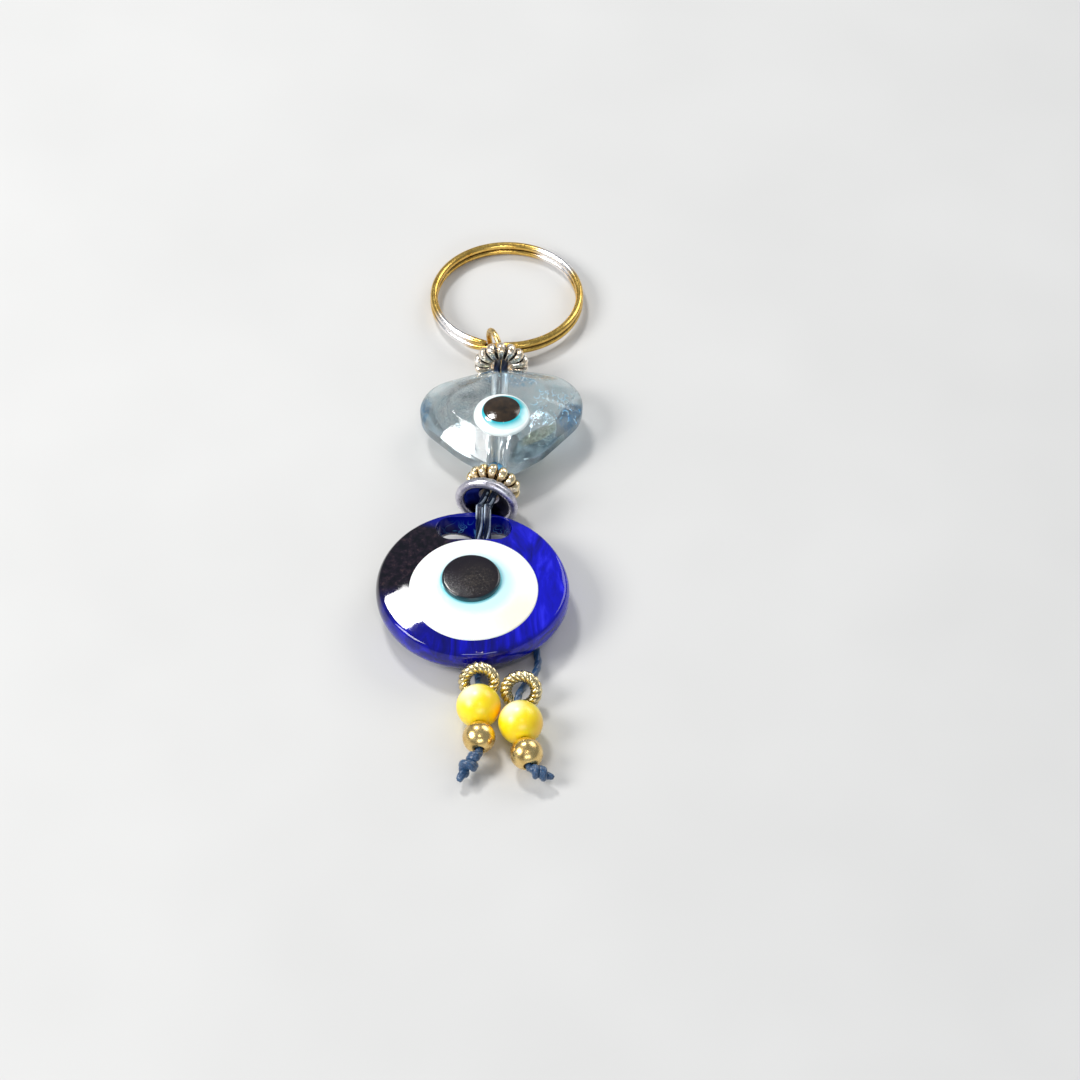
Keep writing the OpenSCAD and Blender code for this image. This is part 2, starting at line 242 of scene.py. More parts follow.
class Finish:
    """A material and the few node steps that all of them use."""

    def __init__(self, name):
        self.material = bpy.data.materials.new(name)
        self.material.use_nodes = True
        self.tree = self.material.node_tree
        self.shader = self.tree.nodes["Principled BSDF"]
        self.where = self.add("ShaderNodeTexCoord").outputs["Object"]

    def add(self, kind, **values):
        node = self.tree.nodes.new(kind)
        for key, value in values.items():
            setattr(node, key, value)
        return node

    def link(self, a, b):
        self.tree.links.new(a, b)

    def set(self, **values):
        """Sets constant values on the shader's own sockets."""
        for key, value in values.items():
            self.shader.inputs[key.replace("_", " ")].default_value = value
        return self

    def noise(self, size_mm, detail=4.0, roughness=0.55, distortion=0.0, stretch=(1, 1, 1)):
        """A noise whose features are about size_mm across."""
        scaled = self.add("ShaderNodeMapping")
        scaled.inputs["Scale"].default_value = stretch
        self.link(self.where, scaled.inputs["Vector"])
        texture = self.add("ShaderNodeTexNoise")
        texture.inputs["Scale"].default_value = 1 / (size_mm * MM)
        texture.inputs["Detail"].default_value = detail
        texture.inputs["Roughness"].default_value = roughness
        texture.inputs["Distortion"].default_value = distortion
        self.link(scaled.outputs["Vector"], texture.inputs["Vector"])
        return texture.outputs["Fac"]

    def ramp(self, value, stops, smooth_steps=False):
        """Maps a value through colour stops, given as (position, colour or grey)."""
        node = self.add("ShaderNodeValToRGB")
        bar = node.color_ramp
        bar.interpolation = "EASE" if smooth_steps else "LINEAR"
        while len(bar.elements) < len(stops):
            bar.elements.new(0.5)
        for element, (at, colour) in zip(bar.elements, stops):
            element.position = at
            element.color = (*colour, 1) if isinstance(colour, tuple) else (colour,) * 3 + (1,)
        self.link(value, node.inputs["Fac"])
        return node.outputs["Color"]

    def fading(self, vector, inner, outer):
        """1 where a vector is shorter than inner, falling to 0 where it is as long as outer."""
        length = self.add("ShaderNodeVectorMath", operation="LENGTH")
        self.link(vector, length.inputs[0])
        fall = self.add("ShaderNodeMapRange", interpolation_type="SMOOTHSTEP")
        for key, value in (("From Min", inner), ("From Max", outer), ("To Min", 1.0), ("To Max", 0.0)):
            fall.inputs[key].default_value = value
        self.link(length.outputs["Value"], fall.inputs["Value"])
        return fall.outputs["Result"]

    def near(self, point_mm, inner_mm, outer_mm, stretch=(1, 1, 1)):
        """1 within inner_mm of a point, falling to 0 at outer_mm."""
        away = self.add("ShaderNodeVectorMath", operation="SUBTRACT")
        away.inputs[1].default_value = Vector(point_mm) * MM
        self.link(self.where, away.inputs[0])
        squeezed = self.add("ShaderNodeVectorMath", operation="MULTIPLY")
        squeezed.inputs[1].default_value = stretch
        self.link(away.outputs["Vector"], squeezed.inputs[0])
        return self.fading(squeezed.outputs["Vector"], inner_mm * MM, outer_mm * MM)

    def band(self, point_mm, degrees, half_length, half_width):
        """1 in a soft-edged oval band that lies at an angle across X, falling to 0 at its edge."""
        turn = math.radians(-degrees)
        back = Matrix.Rotation(turn, 3, "Z") @ Vector(point_mm)
        turned = self.add("ShaderNodeMapping")
        turned.inputs["Rotation"].default_value = (0, 0, turn)
        turned.inputs["Location"].default_value = -back * MM
        self.link(self.where, turned.inputs["Vector"])
        squeezed = self.add("ShaderNodeVectorMath", operation="MULTIPLY")
        squeezed.inputs[1].default_value = (1 / (half_length * MM), 1 / (half_width * MM), 0)
        self.link(turned.outputs["Vector"], squeezed.inputs[0])
        return self.fading(squeezed.outputs["Vector"], 0.7, 1.0)

    def painted_crease_shade(self, reach_mm, low, high):
        """Painted shade: 0 deep in a groove, where ambient occlusion finds it shut in, and 1 on open
        surfaces.
        """
        node = self.add("ShaderNodeAmbientOcclusion", samples=6, only_local=True)
        node.inputs["Distance"].default_value = reach_mm * MM
        return self.ramp(node.outputs["AO"], [(low, 0.0), (high, 1.0)])

    def times(self, a, b):
        node = self.add("ShaderNodeMath", operation="MULTIPLY", use_clamp=True)
        self.link(a, node.inputs[0])
        if isinstance(b, (int, float)):
            node.inputs[1].default_value = b
        else:
            self.link(b, node.inputs[1])
        return node.outputs["Value"]

    def mix(self, share, a, b):
        """Mixes two colours. share is a value, and a and b are colours or sockets."""
        node = self.add("ShaderNodeMix", data_type="RGBA")
        self.link(share, node.inputs["Factor"])
        for socket, colour in ((node.inputs[6], a), (node.inputs[7], b)):
            if isinstance(colour, tuple):
                socket.default_value = (*colour, 1)
            else:
                self.link(colour, socket)
        return node.outputs[2]

    def colour(self, socket):
        self.link(socket, self.shader.inputs["Base Color"])
        return self

    def roughness(self, value, low, high):
        self.link(self.ramp(value, [(0.3, low), (0.7, high)]), self.shader.inputs["Roughness"])
        return self

    def bump(self, value, depth_mm):
        node = self.add("ShaderNodeBump")
        node.inputs["Distance"].default_value = depth_mm * MM
        node.inputs["Strength"].default_value = 1.0
        self.link(value, node.inputs["Height"])
        self.link(node.outputs["Normal"], self.shader.inputs["Normal"])
        return self


EYE, EYE_SIZE = middle("eye_glass")
WHITE = middle("eye_white")[0]
PUPIL = middle("eye_pupil")[0]
HOLE = EYE + Vector((0.35, 10.8, 0))
IRIS_GLOW = PUPIL + Vector((0.7, -0.8, 0))
HEART = Axes(*place("heart_spin"))
NECK = Axes(*place("bell_cap_spin"))


def cobalt_glass():
    f = Finish("cobalt_glass").set(IOR=1.4, Coat_Weight=0.35, Coat_Roughness=0.02)
    streaks = f.noise(3.0, 6, 0.6, 1.5, (1, 0.25, 1))
    bright = f.ramp(streaks, [(0.25, (0.0, 0.0, 0.05)), (0.48, (0.001, 0.001, 0.2)),
                              (0.68, (0.003, 0.003, 0.5)), (0.84, (0.1, 0.1, 0.8))])
    # Painted light and shade: the right side is painted a brighter blue, as where light comes through the
    # glass, and the upper left is painted near black with brown specks, a painted dark reflection.
    right = f.near(EYE + Vector((13, 1, 0)), 4, 12, (1, 0.55, 0.3))
    lit = f.ramp(streaks, [(0.3, (0.0, 0.0, 0.12)), (0.55, (0.003, 0.003, 0.5)),
                           (0.72, (0.03, 0.03, 0.85)), (0.85, (0.25, 0.2, 0.8))])
    painted_dark_reflection = f.ramp(f.noise(1.3, 6, 0.85), [(0.45, (0.0, 0.0, 0.003)), (0.56, (0.012, 0.006, 0.014)),
                                              (0.72, (0.07, 0.04, 0.03))])
    shaded = f.near(EYE + Vector((-11.5, 7.5, 3)), 7, 14.5, (1, 0.85, 0.4))
    base = f.mix(shaded, f.mix(right, bright, lit), painted_dark_reflection)
    wall = f.near(HOLE + Vector((0, 2.4, -2.6)), 1.0, 3.4, (0.3, 1, 0.8))
    # Painted shade: the far wall deep in the hole is painted a darker blue.
    hole_painted_shade = f.near(HOLE + Vector((0, 2.4, 0)), 2.0, 3.6, (0.3, 1, 0.5))
    base = f.mix(hole_painted_shade, base, (0.0, 0.003, 0.2))
    # Painted light: two light-blue contour lines of a slow noise, drawn on the hole's wall only, stand for
    # light thrown through the glass
    painted_light_lines = f.ramp(f.noise(2.4, 0, 0.5, 1.2), [(0.42, 0.0), (0.46, 1.0), (0.49, 0.0),
                                                  (0.56, 0.0), (0.585, 1.0), (0.61, 0.0)])
    inside = f.near(HOLE + Vector((0, -0.2, 0)), 2.9, 3.3, (0.42, 1, 0))
    f.colour(f.mix(f.times(f.times(wall, inside), painted_light_lines), base, (0.15, 0.5, 1.0)))
    f.roughness(f.noise(1.5, 5), 0.02, 0.07)
    f.bump(f.noise(7.0, 2), 0.05)
    return f.material


def white_glass():
    f = Finish("white_glass").set(IOR=1.45, Coat_Weight=0.3, Coat_Roughness=0.04, Subsurface_Weight=0.15,
                                  Subsurface_Scale=0.001)
    plain = f.ramp(f.noise(5.0, 3), [(0.35, (0.92, 0.92, 0.9)), (0.7, (0.9, 0.895, 0.86))])
    warm = f.near(WHITE + Vector((7.5, -5.5, 0)), 1.5, 7.5, (1, 1, 0.2))
    plain = f.mix(f.times(warm, 0.8), plain, (0.9, 0.84, 0.68))
    by_iris = f.near(IRIS_GLOW, 4.6, 7.2, (1, 1, 0.2))
    f.colour(f.mix(f.times(by_iris, 0.8), plain, (0.5, 0.88, 0.96)))
    f.roughness(f.noise(1.2, 5), 0.08, 0.16)
    f.bump(f.noise(4.0, 3), 0.04)
    return f.material


def pale_glass():
    f = Finish("pale_blue_glass").set(IOR=1.45, Coat_Weight=0.3, Coat_Roughness=0.04)
    plain = f.ramp(f.noise(1.2, 4), [(0.3, (0.9, 0.93, 0.92)), (0.7, (0.92, 0.92, 0.89))])
    by_iris = f.near(IRIS_GLOW, 4.6, 7.2, (1, 1, 0.2))
    tint = f.mix(f.times(by_iris, 0.8), plain, (0.5, 0.88, 0.96))
    f.colour(f.mix(f.near(PUPIL, 4.5, 5.1, (1, 1, 0.2)), tint, (0.2, 0.72, 0.82)))
    f.roughness(f.noise(1.2, 5), 0.08, 0.16)
    f.bump(f.noise(3.0, 3), 0.03)
    return f.material


def pupil_glass():
    f = Finish("pupil_glass").set(IOR=1.45, Coat_Weight=0.4, Coat_Roughness=0.03)
    grain = f.noise(0.45, 6, 0.8)
    base = f.ramp(grain, [(0.35, (0.006, 0.005, 0.008)), (0.55, (0.03, 0.024, 0.022)),
                          (0.75, (0.09, 0.075, 0.055))])
    # Painted sheen: the grey-brown specks of grain show only a little right of and below the middle, where
    # they stand for a dim sheen; elsewhere the pupil is plain near black.
    centre = f.near(PUPIL + Vector((0.8, -0.8, 0)), 1.0, 4.4, (1, 1, 0.2))
    dark = f.mix(centre, (0.008, 0.005, 0.009), base)
    teal = f.ramp(f.near(PUPIL, 4.0, 4.55, (1, 1, 0.2)), [(0.0, 1.0), (0.6, 0.0)])
    f.colour(f.mix(teal, dark, (0.002, 0.045, 0.06)))
    f.roughness(f.noise(0.8, 5), 0.05, 0.14)
    f.bump(grain, 0.02)
    return f.material


def clear_glass():
    f = Finish("clear_glass").set(IOR=1.5, Transmission_Weight=0.88)
    plain = f.ramp(f.noise(2.2, 4, 0.6, 1.0), [(0.35, (0.78, 0.95, 1.0)), (0.6, (0.97, 1.0, 1.0))])
    azure_painted_light = f.ramp(f.noise(1.0, 5, 0.7, 1.5), [(0.4, (0.08, 0.5, 0.98)), (0.6, (0.9, 0.98, 1.0))])
    streak = f.noise(1.4, 3, 0.6, 1.0)
    khaki_painted_reflection = f.ramp(streak, [(0.4, (0.35, 0.38, 0.24)), (0.6, (0.8, 0.82, 0.6))])
    teal = f.ramp(streak, [(0.4, (0.03, 0.12, 0.17)), (0.6, (0.3, 0.5, 0.56))])
    grey = f.ramp(f.noise(0.5, 6, 0.8, 2.0), [(0.4, (0.22, 0.27, 0.29)), (0.6, (0.95, 0.98, 0.98))])
    # Painted reflection and light: the teal and khaki bands are painted dark reflections seen in the glass,
    # and the azure patches are painted light gathered in it; the grey band is the glass's scratched patch.
    # (middle, angle, half length, half width, colours)
    painted_light_bands = [(HEART(5.6, 5.3), 41, 5.4, 1.5, teal), (HEART(6.6, 7.2), 41, 4.4, 0.8, khaki_painted_reflection),
             (HEART(9.0, 6.9), 44, 3.8, 0.7, teal), (HEART(-4.4, 15.2), 12, 4.6, 3.0, grey),
             (HEART(-12.2, 12.6), 80, 3.0, 1.5, azure_painted_light), (HEART(1.6, 20.6), -4, 5.5, 1.5, azure_painted_light),
             (HEART(11.6, 12.0), 60, 3.4, 2.0, azure_painted_light)]
    tint = plain
    for at, degrees, length, width, patch in painted_light_bands:
        tint = f.mix(f.times(f.band(at, degrees, length, width), 0.85), tint, patch)
    f.colour(tint)
    f.roughness(f.noise(2.0, 5, 0.6, 1.0), 0.0, 0.02)
    f.bump(f.noise(3.0, 3, 0.6, 0.8), 0.05)
    return f.material


def milky_glass(name, low, high):
    """Pale glass for the bubbles, swirls and scratches inside the clear bead."""
    f = Finish(name).set(IOR=1.5, Coat_Weight=0.3)
    f.colour(f.ramp(f.noise(0.5, 4), [(0.3, low), (0.7, high)]))
    f.roughness(f.noise(0.3, 4), 0.1, 0.3)
    f.bump(f.noise(0.3, 3), 0.01)
    return f.material


def small_eye_white():
    f = Finish("small_eye_white").set(IOR=1.5, Coat_Weight=0.5, Coat_Roughness=0.04)
    f.colour(f.ramp(f.noise(1.5, 4), [(0.3, (0.78, 0.93, 0.94)), (0.7, (0.93, 0.96, 0.95))]))
    f.roughness(f.noise(0.8, 5), 0.08, 0.18)
    f.bump(f.noise(1.5, 4), 0.06)
    return f.material


def turquoise_glass():
    f = Finish("turquoise_glass").set(IOR=1.5, Coat_Weight=0.5, Coat_Roughness=0.04)
    body = f.ramp(f.noise(1.6, 4), [(0.3, (0.0, 0.36, 0.46)), (0.7, (0.01, 0.52, 0.6))])
    inner = f.near(middle("heart_eye_pupil")[0], 2.9, 4.4, (1, 1, 0.2))
    f.colour(f.mix(inner, (0.7, 0.93, 0.93), body))
    f.roughness(f.noise(0.8, 5), 0.07, 0.15)
    f.bump(f.noise(1.5, 4), 0.05)
    return f.material


def brown_glass():
    f = Finish("brown_glass").set(IOR=1.5, Coat_Weight=0.6, Coat_Roughness=0.03)
    f.colour(f.ramp(f.noise(1.0, 5), [(0.3, (0.012, 0.007, 0.003)), (0.75, (0.05, 0.028, 0.012))]))
    f.roughness(f.noise(0.7, 5), 0.05, 0.13)
    f.bump(f.noise(1.0, 5), 0.04)
    return f.material


def metal(name, bright, dull, rough, grain_mm, grain_depth, groove=None):
    """Plated metal: bright where it is rubbed, duller in its pits, and darker in its grooves with painted
    shade.
    """
    f = Finish(name).set(Metallic=1.0)
    tone = f.ramp(f.noise(1.8, 6, 0.65), [(0.3, dull), (0.62, bright)])
    if groove:
        tone = f.mix(f.painted_crease_shade(0.7, 0.5, 0.92), groove, tone)
    f.colour(tone)
    f.roughness(f.noise(0.5, 6, 0.7), *rough)
    f.bump(f.noise(grain_mm, 5, 0.6), grain_depth)
    return f.material


def strand_painted_light_and_shade():
    """The cord inside the clear bead: painted shade makes it near black, and painted light makes it sky blue
    in the lower half, where light gets in.
    """
    f = Finish("strand_cord").set(Coat_Weight=0.5, Coat_Roughness=0.3)
    fibres = f.noise(0.3, 5, 0.7, 0.5)
    dark = f.ramp(fibres, [(0.3, (0.001, 0.003, 0.012)), (0.7, (0.01, 0.03, 0.09))])
    sky = f.ramp(fibres, [(0.3, (0.02, 0.2, 0.5)), (0.7, (0.2, 0.6, 0.95))])
    # Painted light: sky blue near the bead's lower half; painted shade: near black elsewhere.
    f.colour(f.mix(f.near(HEART(0, 3.6), 2.2, 4.2), dark, sky))
    f.roughness(fibres, 0.3, 0.55)
    f.bump(fibres, 0.03)
    return f.material


def ring_brass():
    """Brass plate with painted highlights: two stretches painted silver-white, where light glances off the
    wire.
    """
    f = Finish("ring_metal").set(Metallic=1.0)
    at = middle("key_ring")[0]
    tone = f.ramp(f.noise(1.8, 6, 0.65), [(0.3, (0.62, 0.36, 0.07)), (0.62, (0.9, 0.6, 0.16))])
    # Painted shade: darker where the ring's two turns of wire lie against each other.
    tone = f.mix(f.painted_crease_shade(0.7, 0.5, 0.92), (0.1, 0.05, 0.01), tone)
    # Painted highlights: two stretches of the ring painted silver-white.
    for degrees in (44, 222):
        a = math.radians(degrees)
        painted_highlight = f.near(at + 11.9 * Vector((math.cos(a), math.sin(a), 0)), 2.4, 5.2)
        tone = f.mix(f.times(painted_highlight, 0.95), tone, (0.98, 0.96, 0.97))
    f.colour(tone)
    f.roughness(f.noise(0.5, 6, 0.7), 0.16, 0.32)
    f.bump(f.noise(0.6, 5, 0.6), 0.01)
    return f.material


def cap_hollow_painted_reflection():
    """The cap's metal hollow with painted reflections: deep blue on one side, as of the blue glass, and near
    black on the other, as of the dark surroundings.
    """
    f = Finish("cap_hollow_painted_reflection").set(Metallic=1.0)
    blue = f.ramp(f.noise(1.6, 4), [(0.35, (0.005, 0.01, 0.2)), (0.65, (0.02, 0.05, 0.5))])
    # Painted reflection: deep blue on the hollow's left, near black elsewhere.
    side = f.near(NECK(0, 2.2) + Vector((-3.4, 0, 1.5)), 1.8, 4.6)
    f.colour(f.mix(side, (0.008, 0.008, 0.02), blue))
    f.roughness(f.noise(0.6, 4), 0.08, 0.2)
    f.bump(f.noise(1.2, 3), 0.02)
    return f.material


def pearl_painted_light():
    """A yellow pearl with painted light: a painted white highlight on the upper left of each bead, and
    painted orange shade on its right.
    """
    f = Finish("yellow_pearl").set(IOR=1.5, Coat_Weight=0.7, Coat_Roughness=0.3, Subsurface_Weight=0.1,
                                   Subsurface_Scale=0.001)
    tone = f.ramp(f.noise(2.2, 5), [(0.3, (1.0, 0.68, 0.0)), (0.65, (1.0, 0.82, 0.0))])
    for side in ("left", "right"):
        at = place(f"{side}_pearl_spin")[0]
        # Painted shade: orange on the right of each bead.
        tone = f.mix(f.times(f.near(at + Vector((2.8, -1.2, 0.6)), 0.4, 3.0), 0.6), tone, (0.95, 0.42, 0.0))
        # Painted highlight: near white on the upper left of each bead.
        tone = f.mix(f.times(f.near(at + Vector((-1.5, 0.8, 2.9)), 0.3, 2.9), 0.9), tone, (1.0, 0.97, 0.72))
    f.colour(tone)
    f.roughness(f.noise(0.6, 5), 0.3, 0.42)
    f.bump(f.noise(0.35, 4), 0.006)
    return f.material


def cord_finish(name, dark, middle_tone, light):
    f = Finish(name).set(Sheen_Weight=0.3, Sheen_Roughness=0.35, Sheen_Tint=(0.6, 0.8, 1, 1), Coat_Weight=0.7,
                         Coat_Roughness=0.28)
    fibres = f.noise(0.16, 6, 0.7, 0.5)
    f.colour(f.ramp(fibres, [(0.3, dark), (0.55, middle_tone), (0.8, light)]))
    f.roughness(fibres, 0.3, 0.55)
    f.bump(fibres, 0.04)
    return f.material


COBALT = cobalt_glass()
WHITE_GLASS = white_glass()
PALE_GLASS = pale_glass()
PUPIL_GLASS = pupil_glass()
CLEAR_GLASS = clear_glass()
SMALL_WHITE = small_eye_white()
TURQUOISE = turquoise_glass()
BROWN_GLASS = brown_glass()
# The last colour given to each plated metal is painted shade for its grooves.
GOLD = metal("gold_metal", (0.95, 0.7, 0.3), (0.6, 0.38, 0.12), (0.18, 0.34), 0.4, 0.012, (0.1, 0.045, 0.01))
PALE_GOLD = metal("pale_gold_metal", (0.98, 0.95, 0.9), (0.95, 0.68, 0.34), (0.16, 0.32), 0.3, 0.012,
                  (0.1, 0.1, 0.1))
WARM_GOLD = metal("warm_gold_metal", (0.98, 0.88, 0.66), (0.85, 0.6, 0.22), (0.16, 0.32), 0.3, 0.012,
                  (0.12, 0.06, 0.01))
OLD_GOLD = metal("old_gold_metal", (0.95, 0.82, 0.5), (0.62, 0.46, 0.18), (0.18, 0.34), 0.3, 0.015,
                 (0.03, 0.03, 0.008))
SILVER = metal("silver_metal", (0.8, 0.78, 0.84), (0.42, 0.4, 0.5), (0.2, 0.42), 0.5, 0.05)
CAP_HOLLOW_REFLECTION = cap_hollow_painted_reflection()
RING_METAL = ring_brass()
PEARL = pearl_painted_light()
NAVY = cord_finish("navy_cord", (0.002, 0.01, 0.035), (0.014, 0.065, 0.17), (0.12, 0.36, 0.56))
# Painted shade: the same navy cord painted darker for its run over the bar and into the cap.
NAVY_PAINTED_SHADE = cord_finish("navy_cord_painted_shade", (0.001, 0.003, 0.012), (0.003, 0.01, 0.04), (0.02, 0.06, 0.14))
# Painted sheen: the navy thread painted pale blue-white, as where waxed threads catch the light.
PAINTED_SHEEN_STRAND = cord_finish("strand_painted_sheen", (0.12, 0.2, 0.3), (0.5, 0.6, 0.72), (0.92, 0.96, 1.0))
STRAND_CORD = strand_painted_light_and_shade()
# The swirls are glass drawn out in the bead, partly real, and painted pale blue to white: painted light, for
# the light gathered in the bead's right lobe.
SWIRL_GLASS_PAINTED_LIGHT = milky_glass("milky_glass", (0.45, 0.8, 1.0), (1.0, 1.0, 1.0))
SCRATCHES = milky_glass("scratched_glass", (0.16, 0.2, 0.22), (0.55, 0.6, 0.6))


# ---- Eye disc ----

HOLE_LEN, HOLE_WID = 11.6, 4.8
EYE_RIM_R = 2.9
HOLE_RIM_R = 1.2
EYE_DOME_R = 90.0
DISC_R = EYE_SIZE.x / 2
DISC_BACK = EYE.z - EYE_SIZE.z / 2
DISC_TOP = EYE.z + EYE_SIZE.z / 2
FULLER, FULL_SIDE = 0.5, Vector((0.97, -0.24))
WALL_LEAN = 1.35


def quarter(edge, radius, distance):
    """Height under edge of a quarter round of this radius, at a distance in from the side."""
    if distance >= radius:
        return edge
    return edge - radius + math.sqrt(max(0.0, radius ** 2 - (radius - distance) ** 2))


def soft_min(a, b, reach=0.35):
    """The lower of two heights, rounded off where they are within reach of each other."""
    share = max(reach - abs(a - b), 0.0) / reach
    return min(a, b) - share * share * reach / 4


def hole_distance(x, y):
    """Distance outside the oval hole's edge."""
    straight = (HOLE_LEN - HOLE_WID) / 2
    dx = max(abs(x - HOLE.x) - straight, 0.0)
    return math.hypot(dx, y - HOLE.y) - HOLE_WID / 2


def dome_height(x, y):
    away = (x - EYE.x) ** 2 + (y - EYE.y) ** 2
    return DISC_TOP - (EYE_DOME_R - math.sqrt(EYE_DOME_R ** 2 - away))


def disc_edge(way):
    """The disc's radius in one direction: hand-pressed glass is fuller at its right."""
    return DISC_R + FULLER * max(0.0, way.dot(FULL_SIDE)) ** 6


def disc_point(x, y, side):
    """A point of the disc's front (side 1) or back (side -1)."""
    out = Vector((x - EYE.x, y - EYE.y))
    rim = max(0.0, disc_edge(out.normalized()) - out.length)
    gap = max(0.0, hole_distance(x, y))
    ripple = 0.02 * noise.noise(Vector((x, y, side * 7)) / 5.5)
    if side > 0:
        height = min(dome_height(x, y), quarter(DISC_TOP, EYE_RIM_R, rim))
        height = soft_min(height, quarter(DISC_TOP, HOLE_RIM_R, gap))
        return Vector((x, y, height + ripple * min(1, rim / 2)))
    depth = soft_min(quarter(EYE_SIZE.z, EYE_RIM_R, rim), quarter(EYE_SIZE.z, HOLE_RIM_R, gap))
    return Vector((x, y, DISC_BACK + EYE_SIZE.z - depth))


def hole_outline(count):
    """Points round the oval hole's edge, evenly spaced."""
    straight, r = HOLE_LEN - HOLE_WID, HOLE_WID / 2
    total = 2 * straight + TURN * r
    found = []
    for k in range(count):
        s = total * k / count
        if s < straight:
            found.append((s - straight / 2, -r))
        elif s < straight + math.pi * r:
            a = (s - straight) / r - math.pi / 2
            found.append((straight / 2 + r * math.cos(a), r * math.sin(a)))
        elif s < 2 * straight + math.pi * r:
            found.append((straight / 2 - (s - straight - math.pi * r), r))
        else:
            a = (s - 2 * straight - math.pi * r) / r + math.pi / 2
            found.append((-straight / 2 + r * math.cos(a), r * math.sin(a)))
    return [Vector((HOLE.x + x, HOLE.y + y)) for x, y in found]


def spans(length):
    """Distances from the hole's edge to the rim, close together where the surface turns."""
    arc = [1 - math.cos(math.pi / 2 * k / 9) for k in range(10)]
    inner = [min(HOLE_RIM_R, 0.5 * length) * a for a in arc]
    outer = [length - min(EYE_RIM_R, 0.5 * length) * a for a in reversed(arc)]
    between = 26
    flat = [inner[-1] + (outer[0] - inner[-1]) * k / between for k in range(1, between)]
    return inner + flat + outer


def eye_disc():
    front, back = [], []
    aside = HOLE.xy - EYE.xy
    for p in hole_outline(200):
        way = (p - HOLE.xy).normalized()
        # How far the rim lies from the hole's middle, found again from the rim's own radius there
        along, edge = aside.dot(way), DISC_R
        for _ in range(7):
            reach = -along + math.sqrt(along ** 2 - aside.length_squared + edge ** 2)
            edge = disc_edge((aside + reach * way).normalized())
        start = (p - HOLE.xy).length
        # The bar's inner wall leans into the hole on its way down
        for side, rows, inset in ((1, front, 0.0), (-1, back, WALL_LEAN * max(0.0, way.y) ** 1.5)):
            rows.append([disc_point(*(HOLE.xy + way * (start - inset + d)), side)
                         for d in spans(reach - start + inset)])
    steps = 6
    rings = []
    for top, under in zip(front, back):
        inner = [under[0].lerp(top[0], k / steps) for k in range(1, steps)]
        outer = [top[-1].lerp(under[-1], k / steps) for k in range(1, steps)]
        rings.append(top + outer + under[::-1] + inner)
    corners, faces = skin(rings, closed=True)
    return make("glass_disc", corners, faces, "eye", ["eye_glass"], COBALT)


def pool(at, radius, height, edge, foot, fineness, unevenness):
    """A low pool of glass down to foot. height(x, y, r) is its top, and edge the round at its side."""
    rings = []
    steps, sides = fineness
    wobble, waves = unevenness
    for r in [radius * math.sin(math.pi / 2 * k / steps) for k in range(1, steps + 1)]:
        ring = []
        for k in range(sides):
            a = TURN * k / sides
            way = Vector((math.cos(a), math.sin(a)))
            swell = 1 - wobble + wobble * noise.noise(Vector((way.x * waves, way.y * waves, radius)))
            x, y = at.x + r * swell * way.x, at.y + r * swell * way.y
            ring.append(Vector((x, y, quarter(height(x, y, r), edge, radius - r))))
        rings.append(ring)
    rings.append([Vector((p.x, p.y, foot)) for p in rings[-1]])
    corners, faces = skin(rings, start_cap=False)
    corners.append(Vector((at.x, at.y, height(at.x, at.y, 0.0))))
    faces += [(len(corners) - 1, k, (k + 1) % sides) for k in range(sides)]
    return corners, faces


def inlay(name, node, finish, rise, edge, depth, dome_r=None):
    """A pool of glass in the disc's front, level with the disc's dome or with a dome of its own."""
    at, size = middle(node)
    top = at.z + size.z / 2

    def height(x, y, r):
        if dome_r:
            return top - (dome_r - math.sqrt(dome_r ** 2 - r * r))
        return dome_height(x, y) + rise

    corners, faces = pool(at, size.x / 2, height, edge, top - depth, (30, 144), (0.008, 1.6))
    return make(name, corners, faces, "eye", [node], finish)


def eye():
    eye_disc()
    inlay("white_inlay", "eye_white", WHITE_GLASS, 0.12, 0.28, 1.2)
    inlay("iris_inlay", "eye_iris", PALE_GLASS, 0.125, 0.02, 1.0)
    inlay("pupil_inlay", "eye_pupil", PUPIL_GLASS, 0.3, 0.4, 1.2, dome_r=70.0)


# ---- Metal beads ----

BORE_R = 1.45
CAP_MOUTH = 1.3
CAP_R, CAP_DEPTH, CAP_RIM_R = 5.1, 2.9, 0.7
CAP_WALL = 0.75
HOLLOW_R, HOLLOW_DEPTH = 4.2, 1.95
CAP_FLUTES, FLUTE_DEPTH = 18, 0.13
SPACER_R, SPACER_HALF, SPACER_LOBES, GROOVE_DEPTH = 4.4, 1.2, 14, 0.85


